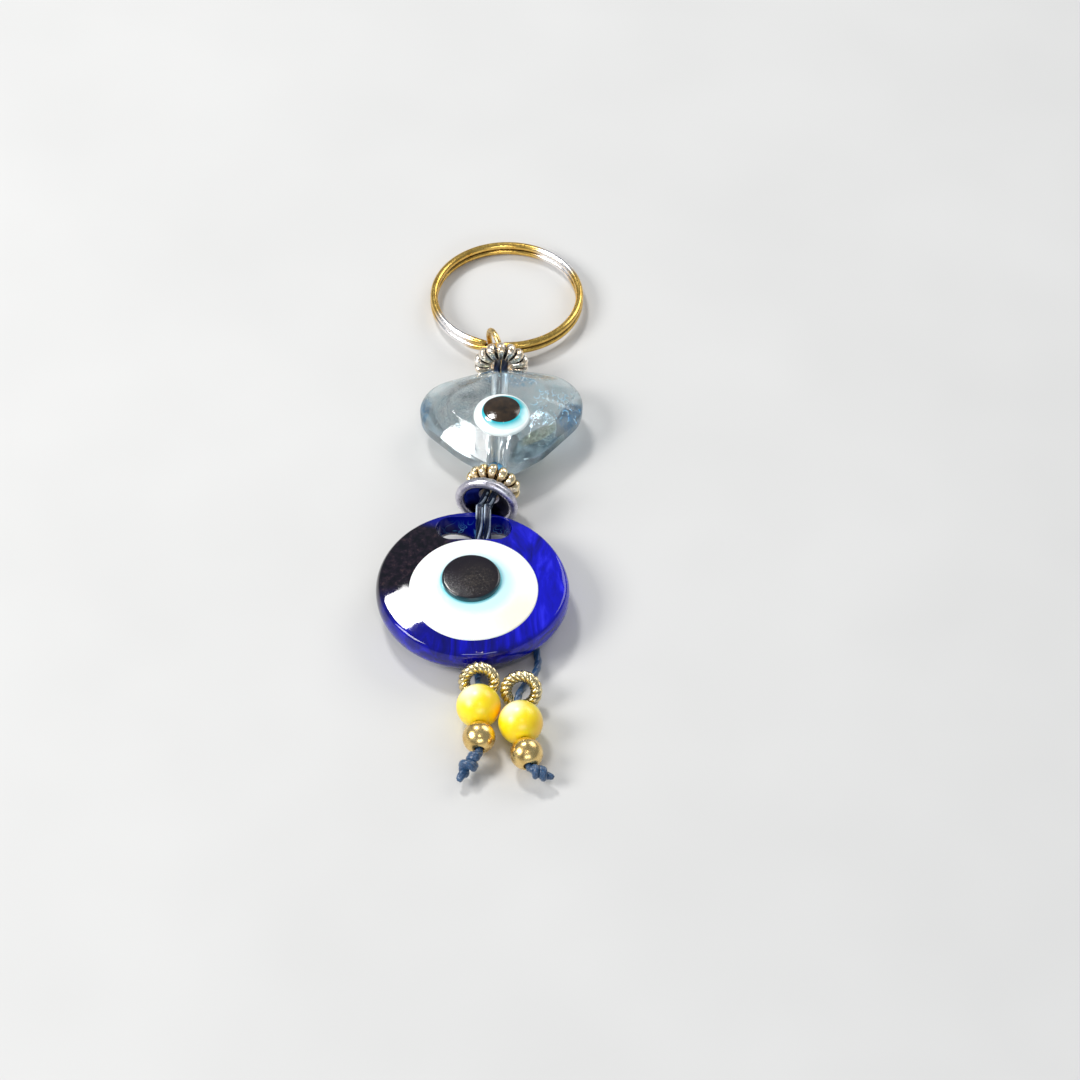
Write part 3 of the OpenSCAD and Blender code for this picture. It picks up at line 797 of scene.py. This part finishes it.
def bell_cap():
    """A cap with a thick rim at its mouth, a fluted outside and a smooth hollow."""
    crown = CAP_DEPTH + CAP_MOUTH
    rim = [(CAP_R - CAP_RIM_R + CAP_RIM_R * math.cos(a), CAP_MOUTH + 0.45 + CAP_RIM_R * math.sin(a))
           for a in [math.radians(d) for d in range(170, 430, 20)]]
    outside = [(CAP_R * 0.97 * math.cos(a), CAP_MOUTH + CAP_WALL + (CAP_DEPTH - CAP_WALL) * math.sin(a))
               for a in [math.radians(d) for d in range(16, 72, 4)]]
    outside += [(2.1, crown), (BORE_R, crown - 0.08), (BORE_R, crown - CAP_WALL)]
    inside = [(HOLLOW_R * math.cos(a), CAP_MOUTH + 0.1 + HOLLOW_DEPTH * math.sin(a))
              for a in [math.radians(d) for d in range(66, 4, -5)]]
    outline = rim + outside + inside
    first, last_one = len(rim), len(rim) + len(outside) - 3

    def flute(a, r, y, k):
        if first <= k < last_one:
            t = (k - first) / (last_one - first)
            r += FLUTE_DEPTH * math.sin(math.pi * min(1, t * 1.3)) * math.cos(CAP_FLUTES * a)
        return r - 0.04 + 0.03 * noise.noise(Vector((math.cos(a) * 3, math.sin(a) * 3, y))), y

    corners, faces = lathe(outline, NECK, 216, flute)
    piece = make("bell_cap_shell", corners, faces, "bell_cap", ["bell_cap"], SILVER)
    piece.data.materials.append(CAP_HOLLOW_REFLECTION)
    first_inside = len(outline) - len(inside)
    for polygon in piece.data.polygons:
        if polygon.index % len(outline) >= first_inside:
            polygon.material_index = 1
    return piece


def fluted_spacer(name, axes, at, body, node, finish):
    """A flattened bead with lobes all round and sharp grooves between them."""
    mid, wide = (SPACER_R + BORE_R) / 2, (SPACER_R - BORE_R) / 2
    outline = []
    for k in range(36):
        a = TURN * k / 36
        c, s = math.cos(a), math.sin(a)
        outline.append((mid + wide * math.copysign(abs(c) ** 0.7, c), at + SPACER_HALF * s))

    def lobe(a, r, y, _):
        groove = (1 - abs(math.sin(SPACER_LOBES * a / 2))) ** 1.8
        out = (r - BORE_R) / (SPACER_R - BORE_R)
        uneven = 1 + 0.012 * noise.noise(Vector((math.cos(a) * 2, math.sin(a) * 2, at)))
        flatter = 1 - 0.55 * groove * min(1, out * 3)
        return (r - GROOVE_DEPTH * groove * out ** 1.2) * uneven, at + (y - at) * flatter

    corners, faces = lathe(outline, axes, SPACER_LOBES * 18, lobe)
    return make(name, corners, faces, body, [node], finish)


# ---- Clear bead ----

HEART_FLOOR = -HEART.origin.z
# Circles (across, along, radius) that the outline at the rim and of the flat tables is drawn round
RIM_CIRCLES = [(-5.95, 13.64, 6.6), (6.35, 14.96, 6.9), (0.5, 2.7, 2.2), (1.6, 10.7, 8.0),
               (-0.76, 10.57, 8.0), (-1.25, 20.3, 2.1), (1.4, 20.4, 2.1)]
TABLE_CIRCLES = [(-3.85, 11.7, 3.8), (3.95, 13.7, 3.7), (0.55, 7.4, 2.6), (0.35, 15.6, 2.7)]
BEAD_T, BEAD_RIM = 9.3, 1.9
SMALL_EYE_TOP = 10.5


def hull_point(circles, way):
    """The outermost point of a group of circles in one direction, a little softened."""
    sharpness = 7
    found, total = Vector((0, 0)), 0.0
    best = max(Vector((x, y)).dot(way) + r for x, y, r in circles)
    for x, y, r in circles:
        weight = math.exp((Vector((x, y)).dot(way) + r - best) * sharpness)
        found += weight * (Vector((x, y)) + r * way)
        total += weight
    return found / total


def clear_bead():
    low, high = (BEAD_T - BEAD_RIM) / 2, (BEAD_T + BEAD_RIM) / 2
    # (share of the way from table to rim, height), from the back's middle to the front's
    bends = [(-0.6, 0.06), (0.0, 0.04), (1.0, low), (1.0, high), (0.0, BEAD_T), (-0.6, BEAD_T)]
    profile = []
    for i, (share, height) in enumerate(bends):
        if i in (0, len(bends) - 1):
            profile.append((share, height))
            continue
        before, after = bends[i - 1], bends[i + 1]
        soften = 0.03 if i in (1, 4) else 0.14
        for k in range(7):
            t = k / 6
            a = [share + (before[0] - share) * soften, height + (before[1] - height) * soften]
            b = [share + (after[0] - share) * soften, height + (after[1] - height) * soften]
            profile.append(tuple((1 - t) ** 2 * a[j] + 2 * t * (1 - t) * (share, height)[j] + t ** 2 * b[j]
                                 for j in (0, 1)))
    rings = []
    count = 180
    for share, height in profile:
        ring = []
        for k in range(count):
            a = TURN * k / count
            way = Vector((math.cos(a), math.sin(a)))
            p = hull_point(TABLE_CIRCLES, way).lerp(hull_point(RIM_CIRCLES, way), max(share, 0))
            if share < 0:
                p = p.lerp(Vector((0.4, 11.8)), -share)
            ring.append(HEART(p.x, p.y, height + HEART_FLOOR))
        rings.append(ring)
    corners, faces = skin(rings)
    piece = make("clear_bead", corners, faces, "heart", ["heart_glass"], CLEAR_GLASS)
    bore = [HEART(0, -8), HEART(0, 34)]
    cut(piece, *tube(bore, lambda *_: round_section(BORE_R, 40)))
    smooth(piece)
    bpy.context.view_layer.update()
    return piece


def bead_swirls():
    """Small bubbles and swirls drawn out in the glass, and fine seeds like scratches at the left."""
    swirls, scratches = [], []
    # (centre across, centre along, half size across, half size along, how many, thickness)
    groups = [(8.8, 14.4, 3.4, 3.0, 40, 0.13), (3.2, 19.0, 4.2, 1.0, 16, 0.1),
              (-4.2, 19.2, 3.4, 0.7, 12, 0.08)]
    for x, y, half_x, half_y, count, thick in groups:
        for i in range(count):
            turn = i * GOLDEN_ANGLE
            r = math.sqrt((i + 0.5) / count)
            at = Vector((x + half_x * r * math.cos(turn), y + half_y * r * math.sin(turn),
                         0.9 * math.sin(turn * 3)))
            bend, reach = 0.35 + 0.2 * math.sin(i * 1.7), 0.5 + 0.35 * math.cos(i * 2.3)
            arc = [HEART(at.x + bend * math.cos(turn + k * reach), at.y + bend * math.sin(turn + k * reach),
                         at.z + 0.05 * k) for k in range(6)]
            thinning = [share * thick for share in (0.3, 0.7, 1, 1, 0.7, 0.3)]
            swirls.append(tube(arc, lambda j, _, radii=thinning: round_section(radii[j], 8)))
    count = 70
    for i in range(count):
        turn = i * GOLDEN_ANGLE
        r = 3.6 * math.sqrt((i + 0.5) / count)
        start = Vector((-5.6 + r * math.cos(turn), 13.6 + 0.9 * r * math.sin(turn), 1.6 * math.sin(i * 1.3)))
        way = Vector((math.cos(i * 0.9), math.sin(i * 0.9), 0.4 * math.sin(i)))
        line = [HEART(*(start + way * d)) for d in (0.0, 0.2, 0.4, 0.6)]
        scratches.append(tube(line, lambda j, _: round_section((0.015, 0.04, 0.04, 0.015)[j], 6)))
    corners, faces = join(*swirls)
    make("bead_swirls", corners, faces, "heart", [], SWIRL_GLASS_PAINTED_LIGHT)
    corners, faces = join(*scratches)
    make("bead_scratches", corners, faces, "heart", [], SCRATCHES)


def small_eye(name, node, finish, rise, foot):
    """One layer of the small eye on the clear bead, on one dome with the others."""
    at, size = middle(node)
    base = middle("heart_eye_white")[0]
    dome_r = 11.5

    def height(x, y, _):
        away = (x - base.x) ** 2 + (y - base.y) ** 2
        return SMALL_EYE_TOP + rise - (dome_r - math.sqrt(dome_r ** 2 - away))

    corners, faces = pool(at, size.x / 2, height, 0.3, foot, (20, 96), (0.01, 1.5))
    return make(name, corners, faces, "heart", [node], finish)


# ---- Rings ----

def split_ring():
    """Two turns of one wire that change place in a short cranked stretch, with cut ends."""
    at = middle("key_ring")[0]
    normal = Vector(MOUNTS["split_ring"]["axis"])
    across = RIGHT
    up = normal.cross(across)
    wire, radius = 1.2, 11.89
    turns, crank = 1.985, math.radians(34)
    path = []
    steps = 460
    for k in range(steps + 1):
        a = TURN * turns * k / steps
        t = min(1.0, max(0.0, (a - TURN * turns / 2 + crank / 2) / crank))
        lift = (t * t * (3 - 2 * t) - 0.5) * (wire - 0.04)
        b = a - math.radians(101)
        path.append(at + radius * (math.cos(b) * across + math.sin(b) * up) + lift * normal)
    rings = []
    for i, p in enumerate(path):
        out = (p - at - (p - at).dot(normal) * normal).normalized()
        end = min(i, steps - i)
        size_here = wire / 2 * (1 if end > 2 else 0.82 + 0.09 * end)
        rings.append([p + size_here * (x * out + 0.97 * y * normal) for x, y in round_section(1, 24)])
    corners, faces = skin(rings)
    return make("split_ring_wire", corners, faces, "key_ring", ["key_ring"], RING_METAL)


def jump_ring():
    """A ring of wire with its two cut ends almost shut."""
    at, size = middle("jump_ring")
    wire = 0.9
    radius = (size.z - wire) / 2
    flat = Vector((size.x - wire, size.y - wire, 0))
    turned = Vector((-flat.x, flat.y, 0)).normalized()
    gap = math.radians(5)
    rings = []
    for k in range(181):
        a = gap / 2 + (TURN - gap) * k / 180 + math.radians(35)
        out = math.cos(a) * turned + math.sin(a) * UP
        side = turned.cross(UP)
        rings.append([at + (radius + x) * out + y * side for x, y in round_section(wire / 2)])
    corners, faces = skin(rings)
    return make("jump_ring_wire", corners, faces, "jump_ring", ["jump_ring"], GOLD)


# ---- Tassels ----

ROPE_R = 2.3
PEARL_R, GOLD_R, BEAD_BORE_R = 3.4, 2.5, 0.75
GOLD_AT = 5.76
KNOT_AT = 8.25


def rope_ring(side):
    """Three strands twisted together round a ring."""
    at, axis = place(f"{side}_rope_ring_spin")
    axes = Axes(at, axis)
    strands, twists, strand_r, offset = 3, 6, 0.49, 0.45
    shapes = []
    for s in range(strands):
        path = []
        for k in range(540):
            a = TURN * k / 540
            b = twists * a + TURN * s / strands
            r = ROPE_R + offset * math.cos(b)
            path.append(axes(r * math.cos(a), offset * math.sin(b), r * math.sin(a)))
        shapes.append(tube(path, lambda *_: round_section(strand_r, 14), closed=True))
    corners, faces = join(*shapes)
    return make(f"{side}_rope_ring_wire", corners, faces, f"{side}_rope_ring",
                [f"{side}_rope_ring"], OLD_GOLD)


def drilled_ball(name, axes, at, radius, body, node, finish):
    """A ball with a bore whose lips are rounded."""
    outline, steps = [], 48
    limit = math.acos((BEAD_BORE_R + 0.12) / radius)
    for k in range(steps + 1):
        a = -limit + 2 * limit * k / steps
        outline.append((radius * math.cos(a), at + radius * math.sin(a)))
    lip = radius * math.sin(limit)
    outline += [(BEAD_BORE_R, at + lip - 0.14), (BEAD_BORE_R, at), (BEAD_BORE_R, at - lip + 0.14)]

    def uneven(a, r, y, k):
        if k > steps:
            return r, y
        return r * (1 - 0.004 + 0.004 * noise.noise(Vector((math.cos(a), math.sin(a), y / radius)) * 2)), y

    corners, faces = lathe(outline, axes, 96, uneven)
    return make(name, corners, faces, body, [node], finish)


# ---- Cord ----

CORD_R = 0.575
# The middle of the cord lies no lower than this
CORD_Z = 0.6
STRANDS = 3
CORD_PITCH = 6.5


def twisted(_, distance, radius=CORD_R):
    """The outline of a three-strand cord, turned further round as it runs on."""
    found = []
    for k in range(24):
        a = TURN * k / 24
        swell = abs(math.cos(STRANDS / 2 * (a - TURN * distance / CORD_PITCH)))
        r = radius * (0.7 + 0.3 * swell ** 0.6)
        found.append((r * math.cos(a), r * math.sin(a)))
    return found


def bundle(path):
    """Thin waxed threads side by side round a middle one."""
    threads = []
    for s in range(7):
        away = 0.0 if s == 6 else 0.37
        thread = []
        distance = 0.0
        for i, (p, (_, u, v)) in enumerate(zip(path, frames_along(path))):
            distance += (p - path[i - 1]).length if i else 0.0
            a = TURN * s / 6 + distance / 2.6 + 0.25 * math.sin(distance * 1.3 + s)
            thread.append(p + away * (math.cos(a) * u + math.sin(a) * v))
        threads.append(tube(thread, lambda *_: round_section(0.2, 10)))
    return threads


def cord(name, points, nodes, body=None, bend=None, loose=False, finish=None):
    """A piece of cord through points in millimetres. bend is (body, body, start, end): its bodies and points
    go unused, and a cord given one only has its transform baked into its mesh.
    """
    path = curve_through(points, 0.14)
    for p in path:
        p.z = max(p.z, CORD_Z)
    threads = bundle(path) if loose else [tube(path, twisted)]
    corners, faces = join(*threads)
    piece = make(name, corners, faces, body, nodes, finish or NAVY)
    if loose:
        # Two of the seven threads carry the painted sheen.
        piece.data.materials.append(PAINTED_SHEEN_STRAND)
        each = len(threads[0][1])
        for polygon in piece.data.polygons:
            if polygon.index // each in (0, 3):
                polygon.material_index = 1
    if bend:
        first, second, start, end = bend
        tuple(Vector(start) * MM)
        tuple(Vector(end) * MM)
        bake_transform(piece)
    return piece


# The routes of the CAD cords, in the row frame
SHIFT = Vector((0, 2.3, 0))
BAR_LEFT = [(-0.6, -24, CORD_Z), (-0.6, -21, CORD_Z), (-0.45, -18, CORD_Z), (-0.26, -14.8, CORD_Z),
            (-0.26, -13.3, 1.4), (-0.26, -12.2, 2.8), (-0.26, -11.3, 4.4), (-0.26, -10.7, 5.9),
            (-0.26, -10.2, 7), (-0.26, -9.3, 7.6), (-0.26, -8.4, 7.2), (-0.26, -7.95, 6.6),
            (-0.26, -7.74, 6.04)]
BAR_RIGHT = [(4.3, -24, CORD_Z), (3.4, -21, CORD_Z), (2.2, -18, CORD_Z), (1.1, -14.8, CORD_Z),
             (0.98, -13.3, 1.4), (0.98, -12.2, 2.8), (0.98, -11.3, 4.4), (0.98, -10.7, 5.9),
             (0.98, -10.2, 7), (0.98, -9.3, 7.6), (0.98, -8.4, 7.2), (0.98, -7.95, 6.6),
             (0.98, -7.74, 6.04)]
BEHIND_LEFT = [(-0.6, -24, CORD_Z), (-0.6, -27, CORD_Z), (-0.5, -30, CORD_Z), (-0.4, -33, CORD_Z),
               (-0.3, -36.6, CORD_Z), (-0.27, -37.6, 0.9), (-0.2, -38.7, 1.7), (-0.15, -39.7, 2.6),
               (-0.12, -40.6, 3.3)]
BEHIND_RIGHT = [(4.3, -24, CORD_Z), (6.6, -27, CORD_Z), (8.2, -30, CORD_Z), (8.8, -33.3, CORD_Z),
                (8.85, -34.6, 0.8), (8.7, -36, 1.2), (8.25, -37.6, 1.7), (7.5, -39.2, 2.2),
                (6.8, -40.6, 2.8), (6.3, -41.9, 3.3), (5.95, -43.1, 3.7)]
LEG = 0.62
LOOP = [(-LEG, 17, 0), (-LEG, 25.4, 0), (-0.95, 26.3, -0.57), (-1.3, 27.2, -1.07), (-0.95, 28.15, -1.37),
        (0, 28.55, -1.42), (0.95, 28.15, -1.37), (1.3, 27.2, -1.07), (0.95, 26.3, -0.57), (LEG, 25.4, 0),
        (LEG, 17, 0)]


def shifted(points):
    return [Vector(p) + SHIFT for p in points]


def bar_cords():
    pivot = place("neck_swing")[0]
    start, end = pivot + Vector((0, -0.6, 1.2)), NECK(0, 2.2)
    for side, route, x in (("left", BAR_LEFT, -LEG), ("right", BAR_RIGHT, LEG)):
        points = shifted(route) + [NECK(x, 0.9, 0.25), NECK(x, 2.2), NECK(x, 3.6)]
        cord(f"bar_cord_{side}", points, [f"eye_cord_{side}"], bend=("eye", "neck", start, end), loose=True,
             finish=NAVY_PAINTED_SHADE)


def strand_cord():
    """Two legs from inside the cap through the clear bead, joined in a loop round the jump ring."""
    left = [NECK(-LEG, 2.6), NECK(-LEG, 5.2), HEART(-LEG, 1.0), HEART(-LEG, 9)]
    right = [HEART(LEG, 9), HEART(LEG, 1.0), NECK(LEG, 5.2), NECK(LEG, 2.6)]
    points = left + [HEART(*p) for p in LOOP] + right
    cord("strand_cord", points, ["neck_cord", "heart_cord"],
         bend=("neck", "heart_strand", NECK(0, 6.4), HEART(0, 1.2)), finish=STRAND_CORD)


def tassel_cord(side, axes, route):
    threaded = [axes(0, d) for d in (-3.4, 0, 3.2, 6.2, KNOT_AT + 0.4)]
    hinge = place(f"{side}_tassel_swing")[0]
    cord(f"tassel_cord_{side}", shifted(route) + threaded, [f"{side}_cord"],
         bend=("eye", f"{side}_tassel", hinge + Vector((0, 1.2, 0)), hinge - Vector((0, 1.2, 0))))


def knot(side, axes, run, turns, coil_r, cord_r):
    """A knot drawn tight: the cord coils along a short run, and its cut tail sticks out."""
    start = axes(0, KNOT_AT)
    first, last_one, tail = (start + Vector(p) for p in run)
    along = (last_one - first).normalized()
    across = along.cross(UP).normalized()
    above = across.cross(along)
    points = [start - Vector(axes.y) * 0.2, start.lerp(first, 0.45)]
    steps = round(turns * 8)
    for k in range(steps + 1):
        a = TURN * turns * k / steps
        t = k / steps
        points.append(first.lerp(last_one, t) + coil_r * (math.cos(a) * above + math.sin(a) * across))
    points += [last_one.lerp(tail, 0.5), tail]
    path = curve_through(points, 0.1)
    count = len(path)

    def section(i, distance):
        share = i / (count - 1)
        neck = min(1.0, 0.72 + share * 3, 0.62 + (1 - share) * 2.2)
        return twisted(i, distance, cord_r * neck * (1 if i < count - 3 else 0.9 - 0.15 * (i - count + 3)))

    corners, faces = tube(path, section)
    make(f"{side}_knot_cord", corners, faces, f"{side}_tassel", [f"{side}_knot"], NAVY)


def tassel(side, route, run, turns, coil_r, cord_r):
    axes = Axes(*place(f"{side}_pearl_spin"))
    rope_ring(side)
    drilled_ball(f"{side}_pearl_ball", axes, 0.0, PEARL_R, f"{side}_pearl", f"{side}_pearl",
                 PEARL)
    drilled_ball(f"{side}_gold_ball", axes, GOLD_AT, GOLD_R, f"{side}_gold_bead", f"{side}_gold_bead",
                 GOLD)
    tassel_cord(side, axes, route)
    knot(side, axes, run, turns, coil_r, cord_r)


# ---- Stage ----

def area_light(name, at, aim, width, height, power, colour):
    data = bpy.data.lights.new(name, "AREA")
    data.shape = "RECTANGLE"
    data.size, data.size_y = width, height
    data.energy = power
    data.color = colour
    lamp = bpy.data.objects.new(name, data)
    bpy.context.scene.collection.objects.link(lamp)
    lamp.location = at
    lamp.rotation_mode = "QUATERNION"
    lamp.rotation_quaternion = (Vector(aim) - Vector(at)).to_track_quat("-Z", "Y")


def stage():
    half = 1.5
    mesh = bpy.data.meshes.new("floor")
    edge = [(-half, -half, 0), (half, -half, 0), (half, half, 0), (-half, half, 0)]
    mesh.from_pydata(edge, [], [(0, 1, 2, 3)])
    floor = bpy.data.objects.new("floor", mesh)
    bpy.context.scene.collection.objects.link(floor)
    f = Finish("floor_paint")
    f.colour(f.ramp(f.noise(40, 2), [(0.3, (0.6, 0.6, 0.595)), (0.7, (0.63, 0.63, 0.625))]))
    f.set(Roughness=0.7)
    floor.data.materials.append(f.material)

    world = bpy.data.worlds.new("studio")
    bpy.context.scene.world = world
    world.use_nodes = True
    world.node_tree.nodes["Background"].inputs["Color"].default_value = (0.82, 0.9, 1, 1)
    world.node_tree.nodes["Background"].inputs["Strength"].default_value = 0.32
    centre = (0, -0.01, 0)
    area_light("window", (-0.56, -0.16, 0.47), centre, 0.34, 0.3, 4.2, (1, 0.98, 0.95))
    area_light("pane", (-0.18, 0.34, 0.574), (-0.012, -0.024, 0), 0.115, 0.115, 2.0, (1, 0.99, 0.97))
    for x in (0.045, 0.085):
        area_light("lamp", (x, -0.34, 0.6), (0, -0.03, 0), 0.018, 0.018, 0.16, (1, 0.86, 0.74))
    area_light("front", (0.12, -0.8, 0.4), centre, 0.5, 0.2, 1.6, (0.9, 0.95, 1))
    area_light("back", (0.5, 0.5, 0.5), centre, 0.5, 0.4, 2, (1, 0.97, 0.93))
    bpy.context.scene.view_settings.view_transform = "Standard"


def camera():
    data = bpy.data.cameras.new("camera")
    data.sensor_width, data.lens = 36, 150
    data.clip_start, data.clip_end = 0.01, 10
    view = bpy.data.objects.new("camera", data)
    bpy.context.scene.collection.objects.link(view)
    view.location = (0.00916, -0.46702, 0.53334)
    view.rotation_euler = (math.radians(40.8), 0, 0)
    bpy.context.scene.camera = view


camera()
stage()
eye()
bell_cap()
fluted_spacer("lower_spacer_lobes", NECK, 5.55, "lower_spacer", "lower_spacer", WARM_GOLD)
clear_bead()
bead_swirls()
small_eye("small_eye_base", "heart_eye_white", SMALL_WHITE, 0.0, 9.25)
small_eye("small_eye_ring", "heart_eye_ring", TURQUOISE, 0.04, 9.4)
small_eye("small_eye_pupil", "heart_eye_pupil", BROWN_GLASS, 0.08, 9.5)
fluted_spacer("top_spacer_lobes", HEART, 24.2, "top_spacer", "top_spacer", PALE_GOLD)
jump_ring()
split_ring()
bar_cords()
strand_cord()
tassel("left", BEHIND_LEFT, [(-0.5, -1.2, -0.3), (-2.2, -3.0, -0.8), (-3.0, -4.7, -1.4)], 1.5, 0.6, 0.82)
tassel("right", BEHIND_RIGHT, [(0.8, -0.5, -0.3), (2.4, -0.7, -0.8), (3.7, -1.2, -1.1)], 1.5, 0.52, 0.72)
